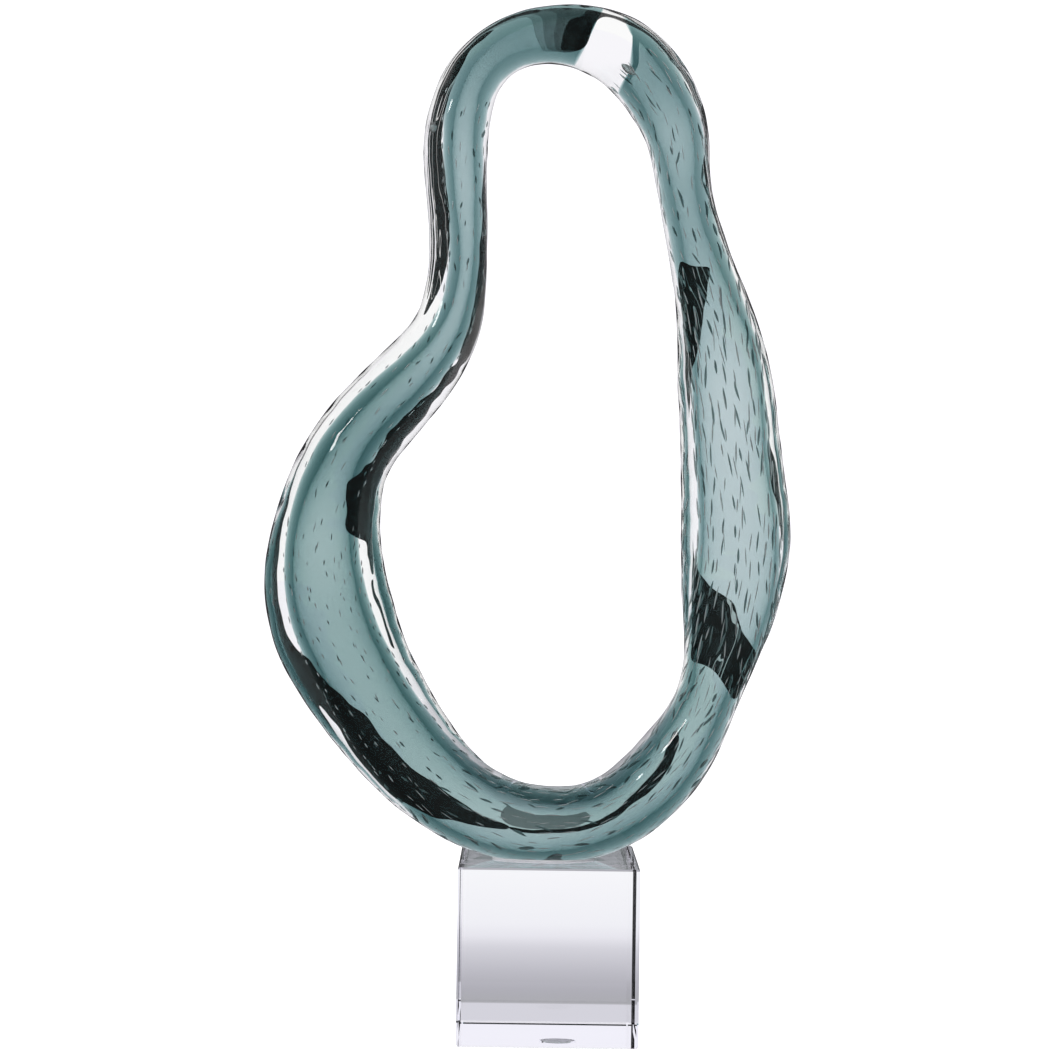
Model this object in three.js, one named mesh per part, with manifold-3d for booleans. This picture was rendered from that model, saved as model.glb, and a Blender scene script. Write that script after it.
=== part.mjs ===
// Glass sculpture: a free-form ring of glass, teal round a clear heart and cased in clear, bonded upright
// on a clear block.
// Millimetres, +Z up, the side seen in the picture faces -Y, origin at the centre of the block's underside.
import * as THREE from 'three';
import { mergeGeometries, mergeVertices } from 'three/addons/utils/BufferGeometryUtils.js';
import Module from 'manifold-3d';

const wasm = await Module();
wasm.setup();

// Clear block with ground edges
const BLOCK_SIDE = 100;
const BLOCK_HEIGHT = 98;
const BLOCK_CHAMFER = 1;

// Oval sticker in a shallow recess of the underside, so that the block stands flat
const LABEL_LONG = 19;
const LABEL_BROAD = 13;
const LABEL_THICK = 0.25;
const LABEL_X = 6;
const LABEL_Y = -22;
const LABEL_MARGIN = 0.6;
const RECESS_DEPTH = 0.5;
const OVAL_SIDES = 40;

// Film of clear adhesive between the block's top and the ground foot of the ring
const BOND_LONG = 50;
const BOND_BROAD = 24;
const BOND_THICK = 0.5;
const BOND_X = -2.5;

// The ring over all, its height taken from the ground foot to the crown. It stands this far in front
// of the block's middle.
const RING_WIDTH = 294;
const RING_HEIGHT = 478;
const RING_FORWARD = 10;

// The bar of the ring, station by station, from the seam over the crown, down the left limb,
// along the foot and up the right limb. x and up lay out the middle of the bar, which is then fitted
// to the ring's width and height. wide is its size in the plane of the ring and deep its size from
// front to back. core is the width of the coloured core, coat the thickness of its colour round the
// clear heart, and shift moves the core toward the outside of the ring.
const BAR = [
  { x: 25.5, up: 459, wide: 38.5, deep: 38, core: 25, coat: 4, shift: 0.5 },
  { x: -14.5, up: 462.5, wide: 31, deep: 34, core: 18.5, coat: 5.5, shift: 0.5 },
  { x: -45.5, up: 442.5, wide: 31.5, deep: 34, core: 12, coat: 4, shift: -2 },
  { x: -57, up: 408, wide: 36, deep: 36, core: 14, coat: 3.5, shift: -2.5 },
  { x: -56.5, up: 370.5, wide: 34, deep: 35, core: 13, coat: 3.5, shift: -2 },
  { x: -55.5, up: 331, wide: 33, deep: 35, core: 11, coat: 4, shift: -2 },
  { x: -63.5, up: 293, wide: 38.5, deep: 38, core: 15, coat: 4, shift: -1 },
  { x: -88.5, up: 260, wide: 46, deep: 42, core: 20.5, coat: 4.5, shift: 0.5 },
  { x: -115.5, up: 225.5, wide: 49.5, deep: 45, core: 23, coat: 5, shift: 1.5 },
  { x: -127.5, up: 182, wide: 61.5, deep: 48, core: 31.5, coat: 4, shift: 1.5 },
  { x: -125, up: 138.5, wide: 71, deep: 50, core: 38, coat: 4, shift: 0 },
  { x: -108, up: 99.5, wide: 65.5, deep: 50, core: 35.5, coat: 4, shift: -0.5 },
  { x: -82, up: 62.5, wide: 57.5, deep: 50, core: 33.5, coat: 4, shift: 0.5 },
  { x: -47, up: 31, wide: 48, deep: 48, core: 29.5, coat: 5, shift: 1 },
  { x: -2.5, up: 18.5, wide: 43.5, deep: 48, core: 24, coat: 5, shift: 1 },
  { x: 38.5, up: 28, wide: 42, deep: 46, core: 23, coat: 5, shift: 1 },
  { x: 70, up: 58, wide: 41, deep: 43, core: 23.5, coat: 4, shift: 0.5 },
  { x: 89.5, up: 95, wide: 35.5, deep: 40, core: 19, coat: 4, shift: 0 },
  { x: 99, up: 136.5, wide: 51, deep: 44, core: 33.5, coat: 3, shift: 1 },
  { x: 103, up: 181, wide: 61.5, deep: 46, core: 37.5, coat: 2.5, shift: 1.5 },
  { x: 100, up: 227, wide: 57, deep: 46, core: 32.5, coat: 2.3, shift: 0.5 },
  { x: 95, up: 276.5, wide: 52, deep: 44, core: 30.5, coat: 2.5, shift: 1 },
  { x: 85.5, up: 322.5, wide: 38.5, deep: 38, core: 23.5, coat: 3.5, shift: 0.5 },
  { x: 72.5, up: 372.5, wide: 30.5, deep: 34, core: 18.5, coat: 4, shift: 0 },
  { x: 67, up: 408.5, wide: 36, deep: 36, core: 24, coat: 4, shift: 0 },
  { x: 51.5, up: 439, wide: 41, deep: 39, core: 28, coat: 4.5, shift: 0 },
];

// Clear glass in front of and behind the core, the least size of the heart where the bar is drawn
// thin, and the gap kept between one layer of glass and the next
const FACE_CLEAR = 7;
const HEART_LEAST = 3;
const LAYER_GAP = 0.3;

const RINGS_PER_STATION = 3;
const RINGS = RINGS_PER_STATION * BAR.length;
const BAR_SIDES = 18;
const CORE_SIDES = 12;
const HEART_SIDES = 8;

// The two ends of the bar meet near the first station, where a wedge of clear glass joins them.
// Both faces of the wedge are outlines in the plane of the ring, measured from that station, and the
// gap to the bar's ends is measured along X.
const SEAM_LEFT = [[3, 40], [1, 18], [-9, 3], [-17, -9], [-28, -36]];
const SEAM_RIGHT = [[9, 40], [8, 11], [14.5, 1], [16.5, -12], [11.5, -26.5], [7, -40]];
const SEAM_GAP = 0.45;

// Long bubbles caught on the surface of the core: rows across the bar, each turned by half a step.
// They are crowded along the foot and the right limb and sparse on the left limb and the crown.
const BUBBLE_LONG = 12;
const BUBBLE_BROAD = 1.6;
const BUBBLE_TILT = 12;
const BUBBLES_PER_ROW = 3;
const CROWDED = { from: 10.5, to: 25, rows: 26 };
const SPARSE = { from: 2.2, to: 10, rows: 6 };

const FOOT_LEVEL = BLOCK_HEIGHT + BOND_THICK;
const BACKWARD = new THREE.Vector3(0, 1, 0);

function closedCurve(read) {
  return new THREE.CatmullRomCurve3(BAR.map(read), true, 'catmullrom', 0.5);
}

const laidLeft = Math.min(...BAR.map(({ x, wide }) => x - wide / 2));
const laidRight = Math.max(...BAR.map(({ x, wide }) => x + wide / 2));
const laidTop = Math.max(...BAR.map(({ up, wide }) => up + wide / 2));
const broaden = RING_WIDTH / (laidRight - laidLeft);
const heighten = RING_HEIGHT / laidTop;

const path = closedCurve(({ x, up }) => new THREE.Vector3(x * broaden, 0, up * heighten));
const barSize = closedCurve(({ wide, deep }) => new THREE.Vector3(wide, deep, 0));
const coreSize = closedCurve(({ core, deep, shift }) => (
  new THREE.Vector3(core, deep - 2 * FACE_CLEAR, shift)
));
const heartSize = closedCurve(({ core, deep, coat, shift }) => new THREE.Vector3(
  Math.max(core - 2 * coat, HEART_LEAST),
  Math.max(deep - 2 * FACE_CLEAR - 2 * coat, HEART_LEAST),
  shift,
));

// A point on the elliptical section at t, the share of the way round the ring, grown by a clearance
function surfacePoint(size, t, angle, grow) {
  const { x: wide, y: deep, z: shift } = size.getPoint(t);
  const outward = new THREE.Vector3().crossVectors(BACKWARD, path.getTangent(t)).normalize();
  return path.getPoint(t)
    .addScaledVector(outward, shift + (wide / 2 + grow) * Math.cos(angle))
    .addScaledVector(BACKWARD, (deep / 2 + grow) * Math.sin(angle));
}

function ringGeometry(size, sides, grow = 0) {
  const positions = [];
  const triangles = [];
  const vertex = (ring, side) => (ring % RINGS) * sides + (side % sides);
  for (let ring = 0; ring < RINGS; ring += 1) {
    for (let side = 0; side < sides; side += 1) {
      const angle = (2 * Math.PI * side) / sides;
      positions.push(...surfacePoint(size, ring / RINGS, angle, grow).toArray());
      triangles.push(vertex(ring, side), vertex(ring, side + 1), vertex(ring + 1, side));
      triangles.push(vertex(ring, side + 1), vertex(ring + 1, side + 1), vertex(ring + 1, side));
    }
  }
  const geometry = new THREE.BufferGeometry();
  geometry.setAttribute('position', new THREE.Float32BufferAttribute(positions, 3));
  geometry.setIndex(triangles);
  return geometry;
}

// An upright oval disc from one level to another
function ovalGeometry(long, broad, x, y, bottom, top) {
  const height = top - bottom;
  return new THREE.CylinderGeometry(1, 1, height, OVAL_SIDES)
    .rotateX(Math.PI / 2)
    .scale(long / 2, broad / 2, 1)
    .translate(x, y, (bottom + top) / 2);
}

function blockGeometry() {
  const half = BLOCK_SIDE / 2 - BLOCK_CHAMFER;
  const corner = half - BLOCK_CHAMFER;
  const outline = new THREE.Shape([
    [half, -corner], [half, corner], [corner, half], [-corner, half],
    [-half, corner], [-half, -corner], [-corner, -half], [corner, -half],
  ].map(([x, y]) => new THREE.Vector2(x, y)));
  return new THREE.ExtrudeGeometry(outline, {
    depth: BLOCK_HEIGHT - 2 * BLOCK_CHAMFER,
    bevelThickness: BLOCK_CHAMFER,
    bevelSize: BLOCK_CHAMFER,
    bevelSegments: 1,
  }).translate(0, 0, BLOCK_CHAMFER);
}

// The wedge of the seam, running past the front and the back of the bar
function seamGeometry(grow) {
  const start = path.getPoint(0);
  const left = SEAM_LEFT.map(([x, up]) => new THREE.Vector2(start.x + x - grow, start.z + up));
  const right = SEAM_RIGHT.map(([x, up]) => new THREE.Vector2(start.x + x + grow, start.z + up));
  const reach = 2 * BAR[0].deep;
  return new THREE.ExtrudeGeometry(new THREE.Shape([...left, ...right.reverse()]), {
    depth: reach,
    bevelEnabled: false,
  }).rotateX(Math.PI / 2).translate(0, reach / 2, 0);
}

// Everything below the level at which the ring is ground flat
function footGeometry() {
  const depth = Math.max(...BAR.map(({ deep }) => deep));
  return new THREE.BoxGeometry(2 * RING_WIDTH, 2 * depth, depth).translate(0, 0, -depth / 2);
}

// A long bubble with pointed ends lies along the bar on the surface of the core
function bubbleGeometry(t, angle, tilt) {
  const middle = surfacePoint(coreSize, t, angle, 0);
  const along = path.getTangent(t);
  const across = new THREE.Vector3().subVectors(middle, path.getPoint(t)).normalize();
  const sideways = new THREE.Vector3().crossVectors(across, along).normalize();
  along.crossVectors(sideways, across);
  const frame = new THREE.Matrix4().makeBasis(along, sideways, across).setPosition(middle);
  return new THREE.OctahedronGeometry(1)
    .scale(BUBBLE_LONG / 2, BUBBLE_BROAD / 2, BUBBLE_BROAD / 2)
    .rotateZ(THREE.MathUtils.degToRad(tilt))
    .applyMatrix4(frame);
}

function bubbleRows({ from, to, rows }) {
  const bubbles = [];
  for (let row = 0; row < rows; row += 1) {
    const t = (from + ((to - from) * (row + 0.5)) / rows) / BAR.length;
    for (let place = 0; place < BUBBLES_PER_ROW; place += 1) {
      const angle = (2 * Math.PI * (place + (row % 2) / 2)) / BUBBLES_PER_ROW;
      bubbles.push(bubbleGeometry(t, angle, (row % 2 ? 1 : -1) * BUBBLE_TILT));
    }
  }
  return bubbles;
}

function solid(geometry) {
  const bare = geometry.clone();
  bare.deleteAttribute('normal');
  bare.deleteAttribute('uv');
  const merged = mergeVertices(bare);
  return new wasm.Manifold(new wasm.Mesh({
    numProp: 3,
    vertProperties: new Float32Array(merged.attributes.position.array),
    triVerts: new Uint32Array(merged.index.array),
  }));
}

function geometryOf(manifold) {
  const { vertProperties, triVerts } = manifold.getMesh();
  const geometry = new THREE.BufferGeometry();
  geometry.setAttribute('position', new THREE.BufferAttribute(vertProperties, 3));
  geometry.setIndex(new THREE.BufferAttribute(triVerts, 1));
  geometry.computeVertexNormals();
  return geometry;
}

function namedMesh(name, geometry, color, roughness, opacity) {
  const material = new THREE.MeshStandardMaterial({ color, roughness, metalness: 0, opacity });
  material.transparent = opacity < 1;
  const mesh = new THREE.Mesh(geometry, material);
  mesh.name = name;
  return mesh;
}

const bar = solid(ringGeometry(barSize, BAR_SIDES)).subtract(solid(footGeometry()));
const bore = solid(ringGeometry(coreSize, CORE_SIDES, LAYER_GAP));
const heartBore = solid(ringGeometry(heartSize, HEART_SIDES, LAYER_GAP));
const seamCut = solid(seamGeometry(SEAM_GAP));
const bubbles = solid(mergeGeometries([...bubbleRows(CROWDED), ...bubbleRows(SPARSE)]));

const casing = bar.subtract(bore).subtract(seamCut);
const coloured = solid(ringGeometry(coreSize, CORE_SIDES)).subtract(heartBore);
const core = coloured.subtract(seamCut).subtract(bubbles);
const heart = solid(ringGeometry(heartSize, HEART_SIDES)).subtract(seamCut);
const seam = bar.intersect(solid(seamGeometry(0)));

const recess = ovalGeometry(
  LABEL_LONG + 2 * LABEL_MARGIN,
  LABEL_BROAD + 2 * LABEL_MARGIN,
  LABEL_X,
  LABEL_Y,
  -RECESS_DEPTH,
  RECESS_DEPTH,
);
const block = solid(blockGeometry()).subtract(solid(recess));
const bond = ovalGeometry(BOND_LONG, BOND_BROAD, BOND_X, -RING_FORWARD, BLOCK_HEIGHT, FOOT_LEVEL);
const label = ovalGeometry(
  LABEL_LONG,
  LABEL_BROAD,
  LABEL_X,
  LABEL_Y,
  RECESS_DEPTH - LABEL_THICK,
  RECESS_DEPTH,
);

const ring = new THREE.Group();
ring.position.set(0, -RING_FORWARD, FOOT_LEVEL);
ring.add(
  namedMesh('clear_casing', geometryOf(casing), 0xe9edf0, 0.03, 0.35),
  namedMesh('teal_core', geometryOf(core), 0x5f8583, 0.05, 0.8),
  namedMesh('clear_heart', geometryOf(heart), 0xe9edf0, 0.03, 0.35),
  namedMesh('clear_seam', geometryOf(seam), 0xe6e5ee, 0.03, 0.5),
);

const group = new THREE.Group();
group.add(
  ring,
  namedMesh('bond_film', bond, 0xc9ccd2, 0.15, 0.6),
  namedMesh('crystal_block', geometryOf(block), 0xdfe3e8, 0.02, 0.35),
  namedMesh('underside_label', label, 0xb4b4bc, 0.35, 1),
);

export default group;
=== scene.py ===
import math
import random

import bmesh
import bpy
import numpy as np
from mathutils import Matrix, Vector


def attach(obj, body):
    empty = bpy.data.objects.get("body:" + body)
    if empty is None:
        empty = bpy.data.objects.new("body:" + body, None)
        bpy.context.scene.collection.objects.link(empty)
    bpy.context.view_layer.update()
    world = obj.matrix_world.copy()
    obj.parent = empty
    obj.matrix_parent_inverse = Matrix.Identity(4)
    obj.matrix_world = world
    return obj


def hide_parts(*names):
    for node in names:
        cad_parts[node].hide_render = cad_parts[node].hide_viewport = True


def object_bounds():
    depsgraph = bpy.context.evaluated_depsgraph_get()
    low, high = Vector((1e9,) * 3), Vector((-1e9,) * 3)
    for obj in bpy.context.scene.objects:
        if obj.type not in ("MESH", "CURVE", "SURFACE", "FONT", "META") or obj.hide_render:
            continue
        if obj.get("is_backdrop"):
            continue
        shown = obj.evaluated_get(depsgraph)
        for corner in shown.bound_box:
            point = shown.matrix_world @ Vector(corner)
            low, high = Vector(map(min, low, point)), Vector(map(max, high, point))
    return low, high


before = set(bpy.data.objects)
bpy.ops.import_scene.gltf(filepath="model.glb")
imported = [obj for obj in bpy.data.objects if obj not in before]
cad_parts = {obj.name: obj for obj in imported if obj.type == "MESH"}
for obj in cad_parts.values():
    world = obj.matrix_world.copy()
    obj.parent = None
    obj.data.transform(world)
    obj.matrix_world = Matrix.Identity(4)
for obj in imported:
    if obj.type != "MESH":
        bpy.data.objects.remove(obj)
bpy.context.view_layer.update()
scene = bpy.context.scene
MM = 0.001

# --- Clear heart
# The first gather on the iron: water-clear glass, round which the colour is rolled and melted. Cased
# in clear, the whole bar is drawn out hot and bent into a ring, so its layers share one middle line.
# The heart runs the length of the bar and ends with the colour on both sides of the seam.

# Station by station from the seam over the crown, down the left limb, along the foot and up the
# right: x, height over the foot, bar's width, bar's depth, colour's width, colour's thickness, and
# how far the colour lies toward the outside of the ring
STATIONS = np.array([
    (25.5, 459, 38.5, 38, 25, 5, 0.5),
    (-14.5, 462.5, 31, 34, 21.5, 6.5, 0.3),
    (-45.5, 442.5, 31.5, 34, 17, 5.5, -0.5),
    (-57, 408, 36, 36, 15.5, 3.8, -2.5),
    (-56.5, 370.5, 34, 35, 14, 3.5, -2.9),
    (-55.5, 331, 33, 35, 12.5, 4, -2.8),
    (-63.5, 293, 38.5, 38, 15, 4, -1),
    (-88.5, 260, 46, 42, 20.5, 5, 0.5),
    (-115.5, 225.5, 49.5, 45, 23, 5.4, 1.5),
    (-127.5, 182, 61.5, 48, 31.5, 4, 1.5),
    (-125, 138.5, 71, 50, 38, 4.4, 0),
    (-108, 99.5, 65.5, 50, 35.5, 4.6, -0.5),
    (-82, 62.5, 57.5, 50, 33.5, 4.5, 0.5),
    (-47, 31, 48, 48, 29.5, 4, 1),
    (-2.5, 18.5, 43.5, 48, 24, 3.8, 1),
    (38.5, 28, 42, 46, 23, 4.6, 1),
    (70, 58, 41, 43, 23.5, 4, 0.5),
    (89.5, 95, 35.5, 40, 19, 4, 0),
    (99, 136.5, 51, 44, 33.5, 3, 1),
    (103, 181, 61.5, 46, 37.5, 2.5, 1.5),
    (100, 227, 57, 46, 32.5, 2.3, 0.5),
    (95, 276.5, 52, 44, 30.5, 2.5, 1),
    (85.5, 322.5, 38.5, 38, 22, 4, 0),
    (72.5, 372.5, 30.5, 34, 16.5, 4.6, 0),
    (67, 408.5, 36, 36, 21.5, 4, -0.8),
    (51.5, 439, 41, 39, 25, 5.5, -1),
]) * MM
X, UP, WIDE, DEEP, COLOUR_WIDE, COLOUR_THICK, SHIFT = range(7)
COUNT = len(STATIONS)

# The ring's foot stands on the block and half a millimetre of cement, forward of the block's middle.
# FACE_CLEAR is the clear glass in front of and behind the colour, HEART_LEAST the heart's least size.
BLOCK_HEIGHT = 98 * MM
FOOT = BLOCK_HEIGHT + 0.5 * MM
RING_FORWARD = 10 * MM
FACE_CLEAR = 8.5 * MM
HEART_LEAST = 3 * MM

# Control points of the smooth closed line that runs through the stations
pulls = STATIONS.copy()
for _ in range(30):
    pulls += STATIONS - (np.roll(pulls, 1, 0) + 4 * pulls + np.roll(pulls, -1, 0)) / 6


def bar_at(u):
    u = np.asarray(u, float) % COUNT
    i = np.floor(u).astype(int)
    t = (u - i)[:, None]
    weights = ((1 - t) ** 3, 3 * t**3 - 6 * t**2 + 4, -3 * t**3 + 3 * t**2 + 3 * t + 1, t**3)
    return sum(w * pulls[(i + k - 1) % COUNT] for k, w in enumerate(weights)) / 6


def bar_frames(u, step=0.001):
    bar = bar_at(u)
    run = bar_at(np.asarray(u) + step) - bar_at(np.asarray(u) - step)
    level = np.zeros(len(bar))
    along = np.stack([run[:, X], level, run[:, UP]], 1)
    along /= np.linalg.norm(along, axis=1)[:, None]
    outward = np.cross((0, 1, 0), along)
    middle = np.stack([bar[:, X], level - RING_FORWARD, bar[:, UP] + FOOT], 1)
    return bar, middle, along, outward


def colour_size(bar):
    return bar[:, COLOUR_WIDE] / 2, bar[:, DEEP] / 2 - FACE_CLEAR, bar[:, SHIFT]


def heart_size(bar):
    wide, deep, shift = colour_size(bar)
    thick = bar[:, COLOUR_THICK]
    return np.maximum(wide - thick, HEART_LEAST / 2), np.maximum(deep - thick, HEART_LEAST / 2), shift


def layer_points(size, u, angle, lift=0.0):
    bar, middle, along, outward = bar_frames(u)
    wide, deep, shift = size(bar)
    across = shift[:, None] + (wide[:, None] + lift) * np.cos(angle)
    back = (deep[:, None] + lift) * np.sin(angle)
    return middle[:, None] + outward[:, None] * across[..., None] + np.array((0, 1, 0)) * back[..., None]


def layer_mesh(name, size, rings, sides, wave=lambda u, angle: 0.0):
    u = np.linspace(0, COUNT, rings, endpoint=False)
    angle = np.broadcast_to(np.linspace(0, 2 * math.pi, sides, endpoint=False), (rings, sides))
    points = layer_points(size, u, angle, wave(u[:, None], angle)).reshape(-1, 3)
    ring, side = np.meshgrid(np.arange(rings), np.arange(sides), indexing="ij")
    after, beside = (ring + 1) % rings, (side + 1) % sides
    corners = (ring * sides + side, ring * sides + beside, after * sides + beside, after * sides + side)
    faces = np.stack(corners, -1).reshape(-1, 4)
    mesh = bpy.data.meshes.new(name)
    mesh.from_pydata(points.tolist(), [], faces.tolist())
    mesh.polygons.foreach_set("use_smooth", [True] * len(faces))
    piece = bpy.data.objects.new(name, mesh)
    scene.collection.objects.link(piece)
    return piece


def cut_away(piece, tool):
    cut = piece.modifiers.new("cut", "BOOLEAN")
    cut.object = tool
    cut.solver = "EXACT"
    bpy.context.view_layer.update()
    done = bpy.data.meshes.new_from_object(piece.evaluated_get(bpy.context.evaluated_depsgraph_get()))
    piece.modifiers.clear()
    piece.data = done


def face_outward(mesh):
    shell = bmesh.new()
    shell.from_mesh(mesh)
    bmesh.ops.recalc_face_normals(shell, faces=shell.faces[:])
    shell.to_mesh(mesh)
    shell.free()


def prism(name, outline, front, back):
    count = len(outline)
    points = [(x, y, z) for y in (front, back) for x, z in outline]
    faces = [tuple(range(count)), tuple(range(2 * count - 1, count - 1, -1))]
    faces += [(i, i + count, (i + 1) % count + count, (i + 1) % count) for i in range(count)]
    mesh = bpy.data.meshes.new(name)
    mesh.from_pydata(points, [], faces)
    face_outward(mesh)
    piece = bpy.data.objects.new(name, mesh)
    scene.collection.objects.link(piece)
    return piece


# The clear wedge between the two ends of the colour, seen from the front and measured from the first
# station. The heart stops this much short of it on the left and right, so that the colour closes over
# the heart's ends.
SEAM_LEFT = ((3, 40), (1, 18), (-9, 3), (-17, -9), (-28, -36))
SEAM_RIGHT = ((9, 40), (8, 11), (14.5, 1), (16.5, -12), (11.5, -26.5), (7, -40))
SEAM_REACH = 40 * MM
END_WALLS = (5, 3)


def seam_wedge(name, left_wall, right_wall):
    start_x, start_up = STATIONS[0][[X, UP]]
    sides = [(x - left_wall, up) for x, up in SEAM_LEFT]
    sides += [(x + right_wall, up) for x, up in SEAM_RIGHT[::-1]]
    outline = [(start_x + x * MM, start_up + up * MM + FOOT) for x, up in sides]
    return prism(name, outline, -SEAM_REACH - RING_FORWARD, SEAM_REACH - RING_FORWARD)


# A hair smaller than the hollow in the colour, so that the two skins nowhere share a place
HEART_INSET = 0.05 * MM
INNER_RINGS = 416
HEART_SIDES = 32

heart = layer_mesh(
    "clear_heart_glass", heart_size, INNER_RINGS, HEART_SIDES, wave=lambda u, angle: -HEART_INSET,
)
heart_wedge = seam_wedge("heart_wedge", *END_WALLS)
cut_away(heart, heart_wedge)
heart.data.polygons.foreach_set("use_smooth", [True] * len(heart.data.polygons))


def linear(colour, alpha=1.0):
    parts = [int(colour[i:i + 2], 16) / 255 for i in (0, 2, 4)]
    return (*[c / 12.92 if c <= 0.04045 else ((c + 0.055) / 1.055) ** 2.4 for c in parts], alpha)


def add(tree, kind, links=(), values=(), **settings):
    node = tree.nodes.new("ShaderNode" + kind)
    for name, value in settings.items():
        setattr(node, name, value)
    for socket, value in values:
        node.inputs[socket].default_value = value
    for socket, source in links:
        tree.links.new(source, node.inputs[socket])
    return node


def new_material(name):
    material = bpy.data.materials.new(name)
    material.use_nodes = True
    material.node_tree.nodes.clear()
    return material, material.node_tree


# Clear glass fused to the colour all round: its skin doesn't show, light goes straight through
fused_glass, tree = new_material("clear_glass_fused")
surface = add(tree, "BsdfTransparent", values=[("Color", linear("ffffff"))])
depth = add(tree, "VolumeAbsorption", values=[("Color", linear("dce8e6")), ("Density", 1.0)])
add(tree, "OutputMaterial", links=[("Surface", surface.outputs[0]), ("Volume", depth.outputs[0])])
heart.data.materials.clear()
heart.data.materials.append(fused_glass)
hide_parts("clear_heart")
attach(heart, "root")

# --- Teal core
# The colour: a layer of grey-green glass bar, melted on round the clear heart. It stops short on both
# sides of the seam near the crown, where the two ends of the bar were joined with clear glass.

COLOUR_SIDES = 48

core = layer_mesh("teal_layer", colour_size, INNER_RINGS, COLOUR_SIDES)
hollow = layer_mesh("heart_hollow", heart_size, INNER_RINGS, HEART_SIDES)
wedge = seam_wedge("seam_wedge", 0, 0)
cut_away(hollow, heart_wedge)
cut_away(core, hollow)
cut_away(core, wedge)
core.data.polygons.foreach_set("use_smooth", [True] * len(core.data.polygons))
for tool in (heart_wedge, hollow, wedge):
    bpy.data.objects.remove(tool)


def let_lamps_through(tree, surface, tint):
    path = add(tree, "LightPath")
    clear = add(tree, "BsdfTransparent", values=[("Color", linear(tint))])
    return add(tree, "MixShader", links=[
        (0, path.outputs["Is Shadow Ray"]),
        (1, surface.outputs[0]),
        (2, clear.outputs[0]),
    ])


# Transparent grey-green glass, melted on. Fused into the clear on both sides, its surface bends no
# light, so an IOR of 1 stands for the join; only the thickness gives the colour, darker at the edges
# where the eye looks along the layer.
teal_glass, tree = new_material("teal_glass_melted_on")
join = add(tree, "BsdfRefraction", values=[("IOR", 1.0), ("Roughness", 0.0), ("Color", linear("ffffff"))])
surface = let_lamps_through(tree, join, "e6f2f1")
depth = add(tree, "VolumeAbsorption", values=[("Color", linear("6caaac")), ("Density", 160.0)])
add(tree, "OutputMaterial", links=[("Surface", surface.outputs[0]), ("Volume", depth.outputs[0])])
core.data.materials.clear()
core.data.materials.append(teal_glass)
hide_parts("teal_core")
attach(core, "root")

# --- Trapped bubbles
# Air caught where the clear casing was gathered over the colour, and drawn out with the bar into long
# slits with pointed ends. They lie just outside the colour, crowded along the foot and the right limb.

# from station, to station, rows, bubbles in a row, length, breadth
BUBBLE_FIELDS = (
    (2.4, 9.0, 26, 6, 5.0, 0.55),
    (9.0, 12.5, 28, 7, 4.0, 0.6),
    (12.5, 17.5, 32, 11, 9.0, 0.55),
    (17.5, 22.0, 22, 13, 12.5, 0.85),
    (22.0, 25.4, 14, 9, 9.0, 0.6),
)
# Two larger ones sit by themselves in the clear casing, one on the upper left limb and one beside
# the seam: station, distance outward and toward the front, length, breadth
SINGLE_BUBBLES = ((3.0, 11, 5, 6.5, 4.6), (25.35, -7, 13, 10, 4.2))
SINGLE_TILT = 0.1
BUBBLE_TILT = math.radians(8)
BUBBLE_LIFT = 0.4 * MM
BUBBLE_TAPER = 0.8
BUBBLE_SIDES = 8
BUBBLE_RINGS = 6
BARE_SHARE = 0.12
chance = random.Random(7)

points, faces = [], []


def blow_bubble(seat, along, across, tilt, half, thick):
    sideways = np.cross(across, along)
    sideways /= np.linalg.norm(sideways)
    rise = np.cross(along, sideways)
    lengthwise = along * math.cos(tilt) + sideways * math.sin(tilt)
    widthwise = sideways * math.cos(tilt) - along * math.sin(tilt)
    base = len(points)
    points.append(seat - lengthwise * half)
    for ring in range(1, BUBBLE_RINGS):
        run = -math.cos(math.pi * ring / BUBBLE_RINGS)
        girth = thick * (1 - run * run) ** BUBBLE_TAPER
        for side in range(BUBBLE_SIDES):
            turn = 2 * math.pi * side / BUBBLE_SIDES
            offset = widthwise * math.cos(turn) + rise * math.sin(turn)
            points.append(seat + lengthwise * half * run + offset * girth)
    points.append(seat + lengthwise * half)
    tip = len(points) - 1
    for side in range(BUBBLE_SIDES):
        beside = (side + 1) % BUBBLE_SIDES
        faces.append((base, base + 1 + beside, base + 1 + side))
        for ring in range(BUBBLE_RINGS - 2):
            low_ring = base + 1 + ring * BUBBLE_SIDES
            high_ring = low_ring + BUBBLE_SIDES
            faces.append((low_ring + side, low_ring + beside, high_ring + beside, high_ring + side))
        faces.append((tip, tip - BUBBLE_SIDES + side, tip - BUBBLE_SIDES + beside))


for first, last, rows, around, long, broad in BUBBLE_FIELDS:
    for row in range(rows):
        for place in range(around):
            if chance.random() < BARE_SHARE:
                continue
            u = first + (last - first) * (row + 0.5 + chance.uniform(-0.35, 0.35)) / rows
            angle = 2 * math.pi * (place + 0.5 * (row % 2) + chance.uniform(-0.28, 0.28)) / around
            half = long * MM / 2 * chance.uniform(0.6, 1.25)
            thick = broad * MM / 2 * chance.uniform(0.6, 1.15)
            bar, middle, along, outward = (part[0] for part in bar_frames([u]))
            seat = layer_points(colour_size, [u], np.array([[angle]]), BUBBLE_LIFT)[0, 0]
            blow_bubble(seat, along, seat - middle, BUBBLE_TILT * chance.uniform(-1, 1), half, thick)

for u, out, front, long, broad in SINGLE_BUBBLES:
    bar, middle, along, outward = (part[0] for part in bar_frames([u]))
    seat = middle + outward * out * MM + np.array((0, -front * MM, 0))
    blow_bubble(seat, along, np.array((0, -1.0, 0)), SINGLE_TILT, long * MM / 2, broad * MM / 2)

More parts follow.
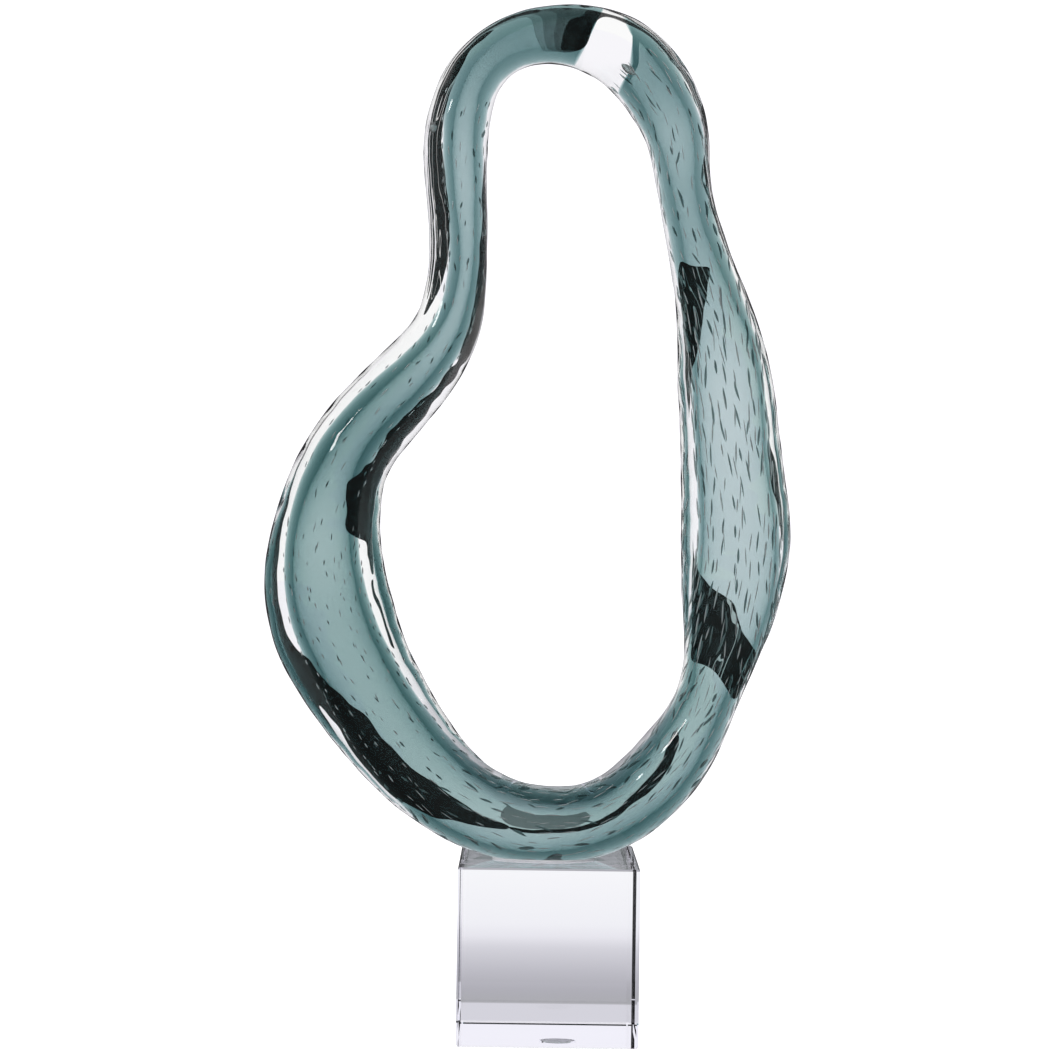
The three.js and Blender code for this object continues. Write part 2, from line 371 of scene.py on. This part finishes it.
mesh = bpy.data.meshes.new("trapped_bubbles")
mesh.from_pydata([tuple(point) for point in points], [], faces)
mesh.polygons.foreach_set("use_smooth", [True] * len(faces))
face_outward(mesh)
bubbles = bpy.data.objects.new("trapped_bubbles", mesh)
scene.collection.objects.link(bubbles)

# Air inside glass: light leaves the glass for the bubble, so the IOR is that of air over glass and
# most of what meets a slit's side is thrown away from the eye, which draws it as a dark dash; a grey
# tint on its wall is painted shade that darkens the dash further. A little frost on its wall catches
# the light.
trapped_air, tree = new_material("trapped_air")
skin = add(tree, "BsdfGlass", values=[("IOR", 0.667), ("Roughness", 0.0), ("Color", linear("b4c0c0"))])
frost = add(tree, "BsdfDiffuse", values=[("Color", linear("f0f2f2"))])
skin = add(tree, "MixShader", links=[(1, skin.outputs[0]), (2, frost.outputs[0])], values=[(0, 0.18)])
surface = let_lamps_through(tree, skin, "f4f4f4")
add(tree, "OutputMaterial", links=[("Surface", surface.outputs[0])])
bubbles.data.materials.append(trapped_air)
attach(bubbles, "root")

# --- Clear casing, with the seam
# The outer gather of clear glass, fire-polished, drawn long so that faint waves run along it. Where
# the bar's two ends meet near the crown it is one body with the clear wedge that joins them.

RIPPLES = (
    # height of the wave, its length along the bar, turns round the bar, offset
    (0.10, 61, 1, 0.4),
    (0.08, 43, 2, 1.9),
    (0.06, 31, -1, 3.1),
    (0.05, 24, 3, 4.4),
    (0.035, 17, -2, 5.2),
    (0.02, 12.5, 4, 0.9),
)
CASING_RINGS = 832
CASING_SIDES = 96
STEPS_PER_STATION = 40

line_u = np.linspace(0, COUNT, COUNT * STEPS_PER_STATION + 1)
steps = np.linalg.norm(np.diff(bar_at(line_u)[:, [X, UP]], axis=0), axis=1)
line_run = np.concatenate([[0], np.cumsum(steps)])
loop_length = line_run[-1]


def casing_size(bar):
    return bar[:, WIDE] / 2, bar[:, DEEP] / 2, np.zeros(len(bar))


def fire_polish(u, angle):
    run = np.interp(u % COUNT, line_u, line_run) / loop_length
    lift = 0.0
    for height, length, turns, offset in RIPPLES:
        waves = round(loop_length / (length * MM))
        lift = lift + height * MM * np.sin(2 * math.pi * waves * run + turns * angle + offset)
    return lift


casing = layer_mesh("clear_casing_glass", casing_size, CASING_RINGS, CASING_SIDES, fire_polish)
shell = bmesh.new()
shell.from_mesh(casing.data)
bmesh.ops.bisect_plane(
    shell,
    geom=shell.verts[:] + shell.edges[:] + shell.faces[:],
    plane_co=(0, 0, FOOT),
    plane_no=(0, 0, -1),
    clear_outer=True,
)
cut_edges = [edge for edge in shell.edges if edge.is_boundary]
ground = bmesh.ops.contextual_create(shell, geom=cut_edges)["faces"][0]
ground.material_index = 1
ground.smooth = False
for edge in ground.edges:
    edge.smooth = False
foot_outline = [(corner.co.x, corner.co.y) for corner in ground.verts]
bmesh.ops.recalc_face_normals(shell, faces=shell.faces[:])
shell.to_mesh(casing.data)
shell.free()

# Clear lead-free glass, fire-polished: glossy, with long faint draw lines that streak what is seen
# through it
clear_glass, tree = new_material("clear_glass_fire_polished")
body = add(tree, "BsdfGlass", values=[("IOR", 1.5), ("Roughness", 0.0), ("Color", linear("ffffff"))])
surface = let_lamps_through(tree, body, "f0f1f2")
add(tree, "OutputMaterial", links=[("Surface", surface.outputs[0])])

# Wet contact: where glass, cement and block touch there is no air, so no surface shows
contact, tree = new_material("cemented_contact")
surface = add(tree, "BsdfTransparent", values=[("Color", linear("ffffff"))])
add(tree, "OutputMaterial", links=[("Surface", surface.outputs[0])])

casing.data.materials.append(clear_glass)
casing.data.materials.append(contact)
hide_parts("clear_casing", "clear_seam")
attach(casing, "root")

# --- Bond film
# Clear cement cured between the ground foot and the block. It fills the whole foot, so light passes
# through it without a break and only its thin rim catches the light.

count = len(foot_outline)
points = [(x, y, level) for level in (BLOCK_HEIGHT, FOOT) for x, y in foot_outline]
faces = [tuple(range(count - 1, -1, -1)), tuple(range(count, 2 * count))]
faces += [(i, (i + 1) % count, (i + 1) % count + count, i + count) for i in range(count)]
mesh = bpy.data.meshes.new("bond_cement")
mesh.from_pydata(points, [], faces)
face_outward(mesh)
film = bpy.data.objects.new("bond_cement", mesh)
scene.collection.objects.link(film)

# Cured clear cement: near the glass in IOR, its rim slightly rough where the surplus was wiped
cement, tree = new_material("clear_cement_wiped")
rim = add(tree, "BsdfGlass", values=[("IOR", 1.5), ("Roughness", 0.12), ("Color", linear("ffffff"))])
surface = let_lamps_through(tree, rim, "f4f4f4")
add(tree, "OutputMaterial", links=[("Surface", surface.outputs[0])])
film.data.materials.append(cement)
film.data.materials.append(contact)
for side in film.data.polygons:
    side.material_index = 1 if abs(side.normal.z) > 0.9 else 0
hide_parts("bond_film")
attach(film, "root")

# The surplus that was pressed out stands round the foot as a narrow bead: outward, up
BEAD_PROFILE = ((0.1, 0.03), (1.5, 0.03), (0.9, 0.45), (1.3, 0.95), (0.1, 0.5))

centre = Vector((sum(x for x, y in foot_outline) / count, sum(y for x, y in foot_outline) / count))
points, faces = [], []
for out, up in BEAD_PROFILE:
    for x, y in foot_outline:
        reach = Vector((x, y)) - centre
        reach += reach.normalized() * out * MM
        points.append((centre.x + reach.x, centre.y + reach.y, BLOCK_HEIGHT + up * MM))
rings = len(BEAD_PROFILE)
for ring in range(rings):
    for i in range(count):
        near, far = ring * count, (ring + 1) % rings * count
        faces.append((near + i, near + (i + 1) % count, far + (i + 1) % count, far + i))
mesh = bpy.data.meshes.new("cement_bead")
mesh.from_pydata(points, [], faces)
mesh.polygons.foreach_set("use_smooth", [True] * len(faces))
face_outward(mesh)
bead = bpy.data.objects.new("cement_bead", mesh)
scene.collection.objects.link(bead)

# Where the bead is open to the air it has gone milky, in clouds about 3 mm across, which draws a thin
# white line under the ring
milky, tree = new_material("cured_cement_milky")
place = add(tree, "TexCoord")
cloud = add(tree, "TexNoise", links=[("Vector", place.outputs["Object"])], values=[
    ("Scale", 350.0),
    ("Detail", 2.0),
])
shade = add(tree, "ValToRGB", links=[("Fac", cloud.outputs["Fac"])])
shade.color_ramp.elements[0].color = linear("d9dade")
shade.color_ramp.elements[1].color = linear("fbfbfc")
bead_face = add(tree, "BsdfPrincipled", links=[("Base Color", shade.outputs["Color"])], values=[
    ("Roughness", 0.3),
])
add(tree, "OutputMaterial", links=[("Surface", bead_face.outputs[0])])
bead.data.materials.append(milky)
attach(bead, "root")

# --- Crystal block
# A stock cube of optical glass, ground square and polished, its edges broken with a narrow flat.
# The foot is cemented to its top and a sticker sits in a shallow recess of its underside.

BLOCK_SIDE = 100 * MM
BLOCK_CHAMFER = 1 * MM
LABEL_LONG = 19 * MM
LABEL_BROAD = 13 * MM
LABEL_MIDDLE = (6 * MM, -22 * MM)
LABEL_MARGIN = 0.6 * MM
RECESS_DEPTH = 0.5 * MM
ROOF_CLEAR = 0.03 * MM

cube = bmesh.new()
bmesh.ops.create_cube(cube, size=1)
for corner in cube.verts:
    x, y, z = corner.co
    corner.co = Vector((x * BLOCK_SIDE, y * BLOCK_SIDE, (z + 0.5) * BLOCK_HEIGHT))
bmesh.ops.bevel(cube, geom=cube.edges[:], offset=BLOCK_CHAMFER, segments=1, affect="EDGES")


def open_patch(shell, outline, level, upward):
    flat = max(shell.faces, key=lambda face: face.calc_area() if face.normal.z * upward > 0.99 else 0)
    edges = flat.edges[:]
    shell.faces.remove(flat)
    corners = [shell.verts.new((x, y, level)) for x, y in outline]
    rim = [shell.edges.new((corners[i], corners[i - 1])) for i in range(len(corners))]
    bmesh.ops.triangle_fill(shell, edges=edges + rim, use_beauty=True)
    return corners


def oval(long, broad, middle, sides=64):
    turns = [2 * math.pi * i / sides for i in range(sides)]
    return [(middle[0] + long / 2 * math.cos(t), middle[1] + broad / 2 * math.sin(t)) for t in turns]


wet_faces = [cube.faces.new(open_patch(cube, foot_outline, BLOCK_HEIGHT, 1))]
recess = oval(LABEL_LONG + 2 * LABEL_MARGIN, LABEL_BROAD + 2 * LABEL_MARGIN, LABEL_MIDDLE)
low_corners = open_patch(cube, recess, 0, -1)
roof_corners = [cube.verts.new((x, y, RECESS_DEPTH + ROOF_CLEAR)) for x, y in recess]
for i in range(len(recess)):
    cube.faces.new((low_corners[i - 1], low_corners[i], roof_corners[i], roof_corners[i - 1]))
wet_faces.append(cube.faces.new(roof_corners))
for face in wet_faces:
    face.material_index = 1
bmesh.ops.recalc_face_normals(cube, faces=cube.faces[:])
mesh = bpy.data.meshes.new("crystal_block_glass")
cube.to_mesh(mesh)
cube.free()
block = bpy.data.objects.new("crystal_block_glass", mesh)
scene.collection.objects.link(block)

# Optical crystal, ground and polished: perfectly flat faces with no ripple, so the table behind and
# the block's own far edges show in it as sharp steps
crystal, tree = new_material("optical_crystal_polished")
body = add(tree, "BsdfGlass", values=[("IOR", 1.52), ("Roughness", 0.0), ("Color", linear("fdfdff"))])
surface = let_lamps_through(tree, body, "e2e3e6")
add(tree, "OutputMaterial", links=[("Surface", surface.outputs[0])])
block.data.materials.append(crystal)
block.data.materials.append(contact)
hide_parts("crystal_block")
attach(block, "root")

# --- Underside label
# A small oval sticker of silver-grey film, stuck to the block from below, in the recess that lets the
# block stand flat. It is seen through the glass.

# Silver-grey film with a satin face: a fine grain, about a millimetre across, keeps it from looking
# like flat paint
sticker, tree = new_material("silver_film_sticker")
place = add(tree, "TexCoord")
fibre = add(tree, "TexNoise", links=[("Vector", place.outputs["Object"])], values=[
    ("Scale", 900.0),
    ("Detail", 3.0),
])
shade = add(tree, "ValToRGB", links=[("Fac", fibre.outputs["Fac"])])
shade.color_ramp.elements[0].color = linear("a9a9b0")
shade.color_ramp.elements[1].color = linear("c9c9ce")
film_face = add(tree, "BsdfPrincipled", links=[("Base Color", shade.outputs["Color"])], values=[
    ("Roughness", 0.45),
])
add(tree, "OutputMaterial", links=[("Surface", film_face.outputs[0])])
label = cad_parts["underside_label"]
label.data.materials.clear()
label.data.materials.append(sticker)

# --- Floor and backdrop
# A plain white table top that runs back out of sight, with soft light all round. It lies a hair below
# the block, so that the block's underside shows as a face of its own.

FLOOR_DROP = 0.3 * MM
FLOOR_REACH = 15
FLOOR_GLOW = 0.45
FLOOR_IN_REFLECTIONS = 0.12

# What the block shows of the table behind it, all painted on the table: painted shade under the
# block, a band of painted light close by, then painted shade that thins out
FLOOR_PAINTED_SHADE = (
    # distance from the block's middle in mm, colour
    (0, "b6bebc"),
    (49, "b6bebc"),
    (51, "d9d8de"),
    (107, "d9d8de"),
    (109, "aeaeb1"),
    (150, "b3b2b8"),
    (208, "c3c2c8"),
    (294, "dbdadf"),
    (340, "f0eff3"),
    (390, "f8f8fa"),
    (630, "fefefe"),
    (1000, "ffffff"),
)
PAINTED_SHADE_LENGTH = FLOOR_PAINTED_SHADE[-1][0]

mesh = bpy.data.meshes.new("floor")
square = ((-1, -1), (1, -1), (1, 1), (-1, 1))
corners = [(x * FLOOR_REACH, y * FLOOR_REACH, -FLOOR_DROP) for x, y in square]
mesh.from_pydata(corners, [], [(0, 1, 2, 3)])
floor = bpy.data.objects.new("floor", mesh)
scene.collection.objects.link(floor)
floor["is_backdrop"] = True

# White paper: matt and a little lifted for the eye, dim in reflections, so that the glass keeps its
# shape, and with painted shade by distance where it is seen through the glass
paper, tree = new_material("white_paper")
path = add(tree, "LightPath")
matt = add(tree, "BsdfDiffuse", values=[("Color", linear("f3f3f5"))])
glow = add(tree, "Emission", values=[("Color", linear("ffffff")), ("Strength", FLOOR_GLOW)])
lifted = add(tree, "AddShader", links=[(0, matt.outputs[0]), (1, glow.outputs[0])])
dim = add(tree, "Emission", values=[("Color", linear("ffffff")), ("Strength", FLOOR_IN_REFLECTIONS)])
place = add(tree, "NewGeometry")
parts = add(tree, "SeparateXYZ", links=[("Vector", place.outputs["Position"])])
across = add(tree, "Math", operation="ABSOLUTE", links=[(0, parts.outputs["X"])])
along = add(tree, "Math", operation="ABSOLUTE", links=[(0, parts.outputs["Y"])])
reach = add(tree, "Math", operation="MAXIMUM", links=[(0, across.outputs[0]), (1, along.outputs[0])])
fade = add(tree, "MapRange", links=[("Value", reach.outputs[0])], values=[("From Max", PAINTED_SHADE_LENGTH * MM)])
shade = add(tree, "ValToRGB", links=[("Fac", fade.outputs[0])])
ramp = shade.color_ramp.elements
while len(ramp) < len(FLOOR_PAINTED_SHADE):
    ramp.new(1.0)
for stop, (distance, colour) in zip(ramp, FLOOR_PAINTED_SHADE):
    stop.position = distance / PAINTED_SHADE_LENGTH
    stop.color = linear(colour)
painted_shade_through_glass = add(tree, "Emission", links=[("Color", shade.outputs["Color"])])
seen = dim
for kind, look in (("Camera", lifted), ("Diffuse", matt), ("Transmission", painted_shade_through_glass)):
    seen = add(tree, "MixShader", links=[
        (0, path.outputs[f"Is {kind} Ray"]),
        (1, seen.outputs[0]),
        (2, look.outputs[0]),
    ])
add(tree, "OutputMaterial", links=[("Surface", seen.outputs[0])])
floor.data.materials.append(paper)

# The studio round it: bright all round for the eye and for what is seen through the glass, but for
# the dark ceiling and one dark side, which draw the block's ground edges as dark lines. The first two
# are the angles in degrees where these begin, and the third how far they blend.
CEILING = 68
DARK_SIDE = -72
BLEND = 3
ROOM_DARK = 0.03
ROOM_IN_REFLECTIONS = 0.10
ROOM_ON_MATT = 0.85
ROOM_TO_THE_EYE = 1.2

world = bpy.data.worlds.new("studio")
scene.world = world
world.use_nodes = True
tree = world.node_tree
tree.nodes.clear()
way = add(tree, "TexCoord")
parts = add(tree, "SeparateXYZ", links=[("Vector", way.outputs["Generated"])])
below = add(tree, "MapRange", links=[("Value", parts.outputs["Z"])], values=[
    ("From Min", math.sin(math.radians(CEILING + BLEND))),
    ("From Max", math.sin(math.radians(CEILING - BLEND))),
])
beside = add(tree, "MapRange", links=[("Value", parts.outputs["X"])], values=[
    ("From Min", math.sin(math.radians(DARK_SIDE - BLEND))),
    ("From Max", math.sin(math.radians(DARK_SIDE + BLEND))),
])
open_sky = add(tree, "Math", operation="MINIMUM", links=[(0, below.outputs[0]), (1, beside.outputs[0])])
through = add(tree, "MapRange", links=[("Value", open_sky.outputs[0])], values=[("To Min", ROOM_DARK)])
path = add(tree, "LightPath")
strength = add(tree, "Mix", values=[(2, ROOM_IN_REFLECTIONS)], links=[
    (0, path.outputs["Is Transmission Ray"]),
    (3, through.outputs[0]),
])
for kind, level in (("Diffuse", ROOM_ON_MATT), ("Camera", ROOM_TO_THE_EYE)):
    strength = add(tree, "Mix", values=[(3, level)], links=[
        (0, path.outputs[f"Is {kind} Ray"]),
        (2, strength.outputs[0]),
    ])
sky = add(tree, "Background", links=[("Strength", strength.outputs[0])], values=[
    ("Color", linear("fbfafe")),
])
add(tree, "OutputWorld", links=[("Surface", sky.outputs[0])])

# --- Black cards, painted shade
# Small dark cards that hang close behind the ring, painted shade that only what is seen through the
# glass meets: they give the clear casing its black bands, and cast no shadow.

SHADES = (
    # material, distance from the ring's middle plane, corners as seen from the front: x, height
    ("black_painted_shade_card", 220, (
        (-176, 455), (-163, 403), (-167, 387), (-200, 382), (-213, 359), (-179, 330), (-163, 317),
        (-174, 302), (-188, 281), (-206, 274), (-236, 266), (-310, 250), (-318, 200), (-560, 190),
        (-560, 620), (-340, 548),
    )),
    ("black_painted_shade_card", 80, (
        (-176, 233), (-166, 227), (-180, 216), (-178, 208), (-170, 190), (-158, 177), (-148, 188),
        (-158, 200), (-162, 210), (-163, 217), (-156, 228), (-166, 236),
    )),
    ("streaked_painted_shade_and_light_card", 80, (
        (-8, 536), (-16, 537), (-31, 539), (-36, 531), (-43, 511), (-47, 497), (-48, 479), (-47, 460),
        (-44, 441), (-37, 418), (-31, 402), (-25, 386), (-18, 380), (-11, 400), (-13, 470), (-6, 520),
    )),
    ("streaked_painted_shade_and_light_card", 80, (
        (-4, 533), (-8, 470), (-6, 400), (2, 395), (8, 440), (7, 527),
    )),
    ("streaked_painted_shade_and_light_card", 80, (
        (13, 520), (14, 450), (9, 400), (28, 410), (34, 500),
    )),
    ("black_painted_shade_card", 80, (
        (-105, 250), (-105, 242), (-108, 234), (-112, 225), (-116, 217), (-110, 206), (-108, 197),
        (-100, 180), (-93, 170), (-82, 156), (-65, 134), (-52, 124), (-33, 116), (-20, 114), (-20, 118),
        (-33, 126), (-43, 136), (-45, 166), (-34, 194), (-52, 200), (-76, 194), (-84, 202), (-80, 218),
        (-40, 220), (-15, 240), (-20, 300), (-100, 268),
    )),
    ("black_painted_shade_card", 80, (
        (-20, 114), (0, 111), (11, 110.5), (25, 113), (36, 114), (49, 119), (61, 126), (71, 136),
        (82, 140), (95, 147), (90, 154), (77, 149), (66, 142), (56, 135), (47, 124), (37, 120),
        (22, 117), (11, 114.5), (0, 114), (-20, 117),
    )),
    ("smoke_painted_shade_card", 81, (
        (4, 518), (6, 545), (4, 559), (1, 581), (3, 606), (20, 604), (23, 584), (19, 564), (19, 540),
        (16, 518),
    )),
    ("smoke_painted_shade_card", 82, (
        (-1, 516), (1, 545), (-1, 559), (-4, 581), (-2, 609), (20, 607), (23, 584), (19, 564),
        (19, 540), (16, 516),
    )),
    ("smoke_painted_shade_card", 83, (
        (-7, 514), (-5, 545), (-7, 559), (-11, 581), (-8, 612), (20, 610), (23, 584), (19, 564),
        (19, 540), (16, 514),
    )),
    ("black_painted_shade_card", 80, (
        (9, 559), (6, 581), (8, 603), (20, 600), (23, 584), (19, 564), (19, 540), (16, 520), (9, 520),
        (12, 545),
    )),
    ("streaked_painted_shade_and_light_card", 80, (
        (117, 450), (95, 439), (82, 432), (85, 429), (94, 424), (101, 417), (113, 397), (124, 384),
        (137, 377), (143, 368), (166, 355), (176, 372), (172, 425), (150, 446),
    )),
    ("streaked_painted_shade_and_light_card", 80, (
        (157, 282), (155, 267), (135, 259), (120, 254), (113, 251), (108, 246), (102, 239), (94, 230),
        (80, 231), (50, 240), (25, 246), (38, 221), (45, 211), (62, 203), (80, 201), (91, 203),
        (118, 204), (148, 204), (162, 222), (168, 262),
    )),
    ("streaked_painted_shade_and_light_card", 80, (
        (71, 337), (65, 323), (40, 308), (45, 299), (52, 290), (37, 282), (59, 281), (75, 288),
        (84, 307), (80, 320),
    )),
    ("grey_painted_shade_card", 80, (
        (-29, 110), (-29, 101), (-24, 99.5), (24, 99.5), (26, 107), (22, 110), (11, 110.4), (0, 110.8),
        (-13, 112), (-23, 114),
    )),
)

# A card of painted shade with a faint light of its own. Seen through the glass, black is nearly black,
# streaked has pale upright threads of painted light that stand for the fine cords in the casing, smoke
# is a thin film of painted shade that only dims what is behind it, and grey is a glowing sheet that
# paints the foot's soft grey edge.
PAINTED_SHADE_FACES = (
    # material, its own light, light of the threads, share that passes through it
    ("black_painted_shade_card", 0.012, 0.0, 0.0),
    ("streaked_painted_shade_and_light_card", 0.012, 0.7, 0.0),
    ("smoke_painted_shade_card", 0.012, 0.0, 0.62),
    ("grey_painted_shade_card", 0.3, 0.0, 0.0),
)
# A thread of painted light runs wherever a cloud of noise, 12 mm across and 60 mm high, comes this
# near to its middle
CLOUD = (80, 80, 16)
CLOUD_MIDDLE = 0.5
THREAD_BREADTH = 0.009

painted_shade_faces = {}
for name, level, painted_thread_light, clearness in PAINTED_SHADE_FACES:
    painted_shade_faces[name], tree = new_material(name)
    place = add(tree, "TexCoord")
    spot = add(tree, "VectorMath", operation="MULTIPLY", links=[(0, place.outputs["Object"])], values=[
        (1, CLOUD),
    ])
    cloud = add(tree, "TexNoise", links=[("Vector", spot.outputs[0])], values=[
        ("Scale", 1.0),
        ("Detail", 1.0),
    ])
    off = add(tree, "Math", operation="SUBTRACT", links=[(0, cloud.outputs["Fac"])], values=[
        (1, CLOUD_MIDDLE),
    ])
    near = add(tree, "Math", operation="ABSOLUTE", links=[(0, off.outputs[0])])
    thread = add(tree, "Math", operation="LESS_THAN", links=[(0, near.outputs[0])], values=[
        (1, THREAD_BREADTH),
    ])
    glow = add(tree, "Math", operation="MULTIPLY_ADD", links=[(0, thread.outputs[0])], values=[
        (1, painted_thread_light),
        (2, level),
    ])
    dull = add(tree, "Emission", links=[("Strength", glow.outputs[0])], values=[
        ("Color", linear("ffffff")),
    ])
    through = add(tree, "BsdfTransparent")
    both = add(tree, "MixShader", values=[(0, clearness)], links=[
        (1, dull.outputs[0]),
        (2, through.outputs[0]),
    ])
    add(tree, "OutputMaterial", links=[("Surface", both.outputs[0])])


def hang_card(kind, points):
    mesh = bpy.data.meshes.new(kind)
    mesh.from_pydata(points, [], [tuple(range(len(points)))])
    mesh.materials.append(painted_shade_faces[kind])
    card = bpy.data.objects.new(kind, mesh)
    scene.collection.objects.link(card)
    card.visible_camera = False
    card.visible_diffuse = False
    card.visible_glossy = False
    card.visible_shadow = False
    card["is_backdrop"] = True


# Each outline's corners are cut off twice, so that the dark bands have smooth edges
CORNER_ROUNDS = 2
CORNER_KEPT = 0.78

for kind, away, outline in SHADES:
    for _ in range(CORNER_ROUNDS):
        pairs = list(zip(outline, outline[1:] + outline[:1]))
        outline = tuple((x * k + to_x * (1 - k), up * k + to_up * (1 - k))
                        for (x, up), (to_x, to_up) in pairs for k in (CORNER_KEPT, 1 - CORNER_KEPT))
    hang_card(kind, [(x * MM, away * MM - RING_FORWARD, up * MM) for x, up in outline])

# A narrow one, painted shade too, stands upright beside the block's back left edge. The chamfer of the
# back right edge mirrors it, so that edge is dark from top to bottom.
SIDE_CARD_X = -56
SIDE_CARD = ((45, 0.5), (49, 0.5), (49, 93), (45, 93))

hang_card("black_painted_shade_card", [(SIDE_CARD_X * MM, y * MM, up * MM) for y, up in SIDE_CARD])

# --- Soft lights
# A large softbox, high at the front left, and a narrow one nearer the camera that leaves a small
# bright mark on each limb of the ring.

LIT_SPOT = Vector((0, 0, 0.3))
SOFTBOXES = (
    # name, place, width, height, power in watts, whether the glass mirrors it
    ("key_softbox", (-1.3, -1.2, 1.6), 1.3, 1.3, 25, False),
    ("narrow_softbox", (-1.14, -1.41, 1.09), 0.2, 0.2, 2.0, True),
)

for name, place, wide, high, power, mirrored in SOFTBOXES:
    lamp = bpy.data.lights.new(name, "AREA")
    lamp.shape = "RECTANGLE"
    lamp.size = wide
    lamp.size_y = high
    lamp.energy = power
    light = bpy.data.objects.new(name, lamp)
    light.location = place
    light.rotation_euler = (Vector(place) - LIT_SPOT).to_track_quat("Z", "Y").to_euler()
    light.visible_glossy = mirrored
    light.visible_transmission = False
    scene.collection.objects.link(light)

# --- Camera
# Level with the middle of the ring, a little to the left of the block, rolled by less than a degree.
# Light may pass this many skins of glass on its way to it.

LIGHT_BOUNCES = 32

lens = bpy.data.cameras.new("camera")
lens.lens = 81.52
lens.sensor_width = 36
camera = bpy.data.objects.new("camera", lens)
camera.location = (-0.0157, -1.35, 0.2858)
camera.rotation_euler = (math.radians(90), math.radians(-0.75), 0)
scene.collection.objects.link(camera)
scene.camera = camera

scene.view_settings.view_transform = "Standard"
scene.cycles.max_bounces = LIGHT_BOUNCES
scene.cycles.transmission_bounces = LIGHT_BOUNCES
scene.cycles.transparent_max_bounces = LIGHT_BOUNCES

low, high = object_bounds()
